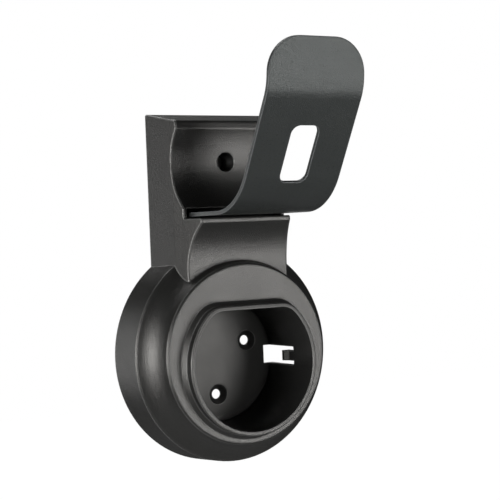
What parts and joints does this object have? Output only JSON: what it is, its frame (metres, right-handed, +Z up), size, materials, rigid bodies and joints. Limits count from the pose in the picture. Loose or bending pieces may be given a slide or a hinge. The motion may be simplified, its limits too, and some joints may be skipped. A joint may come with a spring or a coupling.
{
  "type": "ev connector holder",
  "caption": "Wall holder for an EV charging connector: round base with a nose socket, cable saddle above it and a bent steel hook in front.",
  "frame": {"origin": "axis of the round base, on the wall plane at the back of the socket floor", "axes": "+X to the right seen from the front, +Y into the wall, +Z up; the connector goes in along +Y"},
  "size_m": [0.0948, 0.0904, 0.1715],
  "materials": {
    "housing_plastic": "fine moulded grain",
    "hook_coating": "satin powder coat",
    "screw_steel": "zinc plated"
  },
  "bodies": {
    "root": {"housing": "housing_plastic", "hook_plate": "hook_coating", "hook_screw_left": "screw_steel", "hook_screw_right": "screw_steel"}
  },
  "joints": []
}
